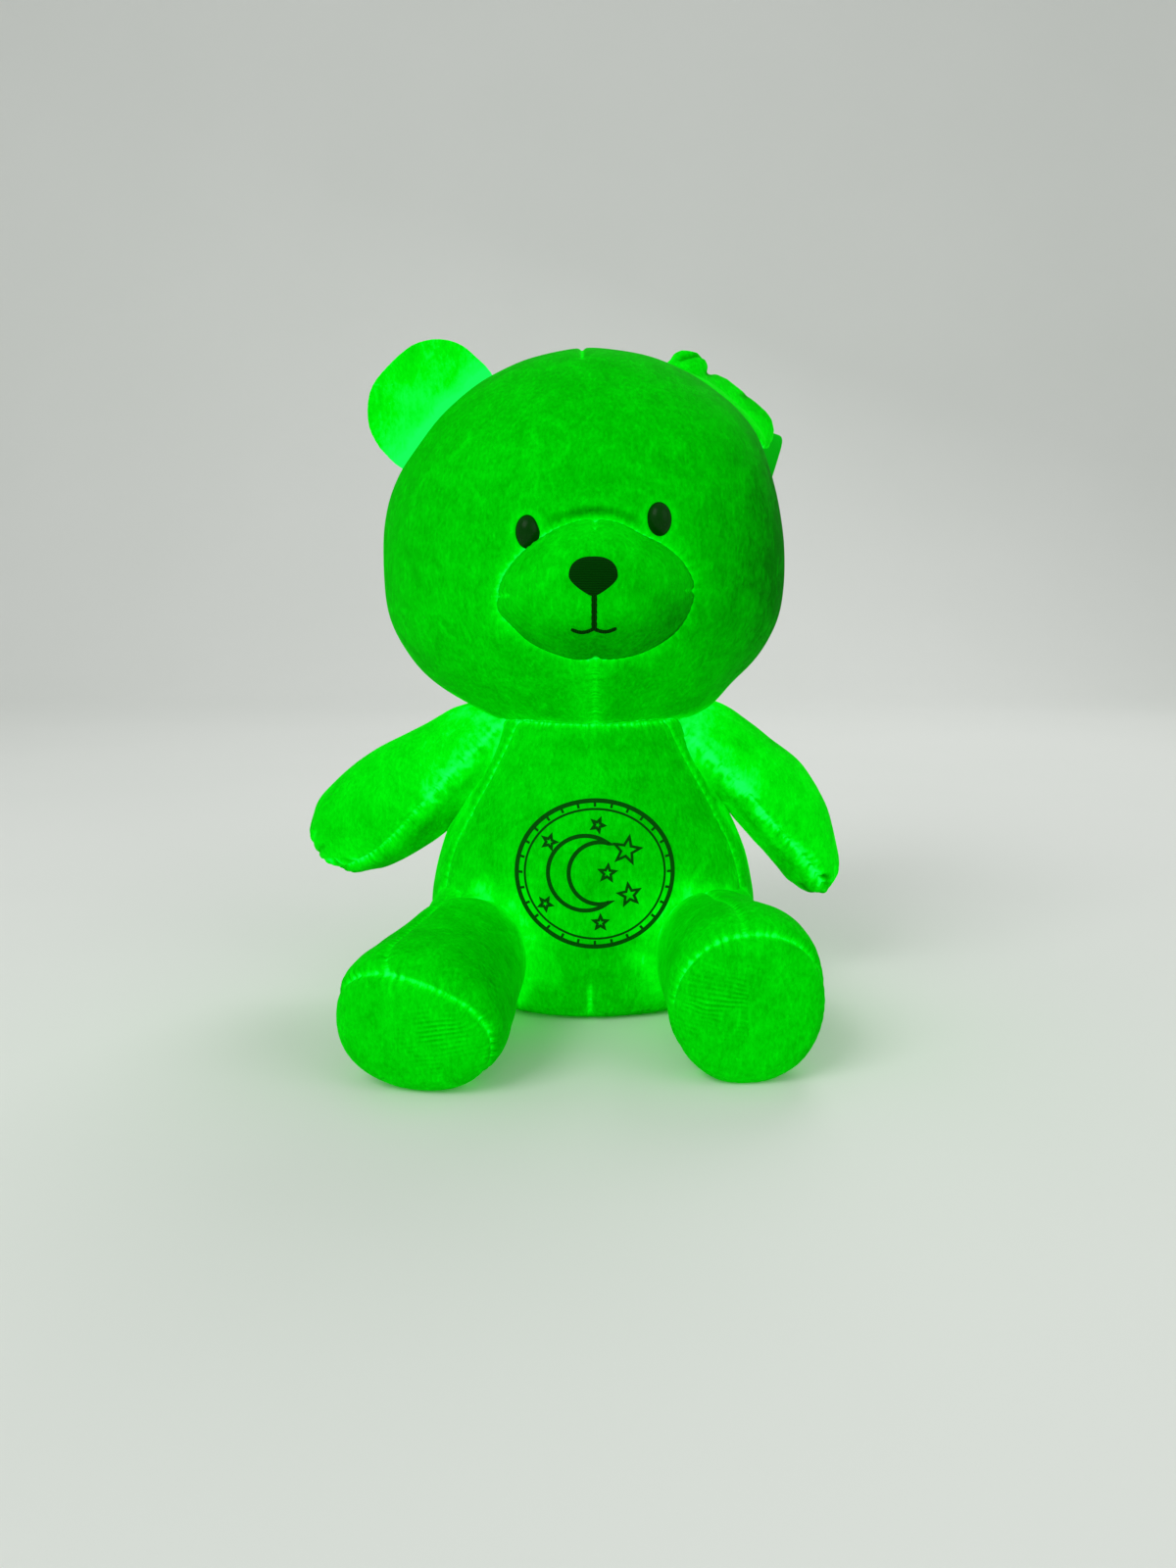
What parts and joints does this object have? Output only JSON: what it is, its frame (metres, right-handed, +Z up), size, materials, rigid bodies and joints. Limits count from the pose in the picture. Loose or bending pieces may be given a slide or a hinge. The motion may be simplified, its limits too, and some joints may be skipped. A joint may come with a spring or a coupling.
{
  "type": "glow in the dark plush teddy bear",
  "caption": "Seated green glow-in-the-dark plush teddy bear with an oval muzzle, one ear standing and one folded back, soft jointed limbs and a pellet-weighted seat.",
  "frame": {"origin": "on the seat's flat face, midway between the hips, on the body's own centre line", "axes": "+Z up, -Y the way the face looks, +X towards the bear's left hand, which is the viewer's right"},
  "size_m": [0.2152, 0.1732, 0.2496],
  "materials": {
    "plush": "short-pile plush with a glow-in-the-dark pigment, matt",
    "plush_panel": "short-pile plush with a glow-in-the-dark pigment, matt, slightly brighter",
    "filling": "white polyester fibre",
    "pellets": "plain woven bag",
    "black_plastic": "glossy",
    "white_plastic": "moulded, matt",
    "black_thread": "satin-stitched thread",
    "tag_card": "matt card"
  },
  "bodies": {
    "torso": {"body_front_panel": "plush_panel", "body_back_panel": "plush", "base_panel": "plush", "body_filling": "filling", "pellet_bag": "pellets"},
    "head": {"face_panel": "plush", "head_back_panel": "plush", "muzzle_panel": "plush_panel", "head_filling": "filling", "left_eye": "black_plastic", "left_eye_washer": "white_plastic", "right_eye": "black_plastic", "right_eye_washer": "white_plastic", "nose": "black_thread", "mouth": "black_thread", "ear_tag": "tag_card"},
    "left_ear": {"left_ear_front": "plush_panel", "left_ear_back": "plush"},
    "right_ear": {"right_ear_front": "plush_panel", "right_ear_back": "plush"},
    "left_arm": {"left_arm_cover": "plush", "left_arm_filling": "filling"},
    "right_arm": {"right_arm_cover": "plush", "right_arm_filling": "filling"},
    "left_leg": {"left_leg_cover": "plush", "left_sole_panel": "plush_panel", "left_leg_filling": "filling"},
    "right_leg": {"right_leg_cover": "plush", "right_sole_panel": "plush_panel", "right_leg_filling": "filling"}
  },
  "joints": [
    {"name": "neck", "type": "hinge", "parent": "torso", "child": "head", "pos_m": [0, 0, 0.08], "axis": [1, 0, 0], "range_deg": [-10, 10], "stiffness_Nm_per_rad": 0.3},
    {"name": "left_shoulder", "type": "hinge", "parent": "torso", "child": "left_arm", "pos_m": [-0.04, 0.001, 0.0935], "axis": [0, 1, 0], "range_deg": [-10, 30], "stiffness_Nm_per_rad": 0.06},
    {"name": "right_shoulder", "type": "hinge", "parent": "torso", "child": "right_arm", "pos_m": [0.04, 0.001, 0.0935], "axis": [0, -1, 0], "range_deg": [-4, 40], "stiffness_Nm_per_rad": 0.06},
    {"name": "left_hip", "type": "hinge", "parent": "torso", "child": "left_leg", "pos_m": [-0.042, -0.0195, 0.0265], "axis": [-1, 0, 0], "range_deg": [-35, 10], "stiffness_Nm_per_rad": 0.08},
    {"name": "right_hip", "type": "hinge", "parent": "torso", "child": "right_leg", "pos_m": [0.042, -0.0195, 0.0265], "axis": [-1, 0, 0], "range_deg": [-35, 10], "stiffness_Nm_per_rad": 0.08},
    {"name": "left_ear_fold", "type": "hinge", "parent": "head", "child": "left_ear", "pos_m": [-0.05743, 0.004, 0.22251], "axis": [0.7086, 0, 0.7056], "range_deg": [-82, 10], "stiffness_Nm_per_rad": 0.01},
    {"name": "right_ear_fold", "type": "hinge", "parent": "head", "child": "right_ear", "pos_m": [0.04902, 0.004, 0.22929], "axis": [0.8023, 0, -0.5969], "range_deg": [0, 82], "stiffness_Nm_per_rad": 0.01}
  ]
}
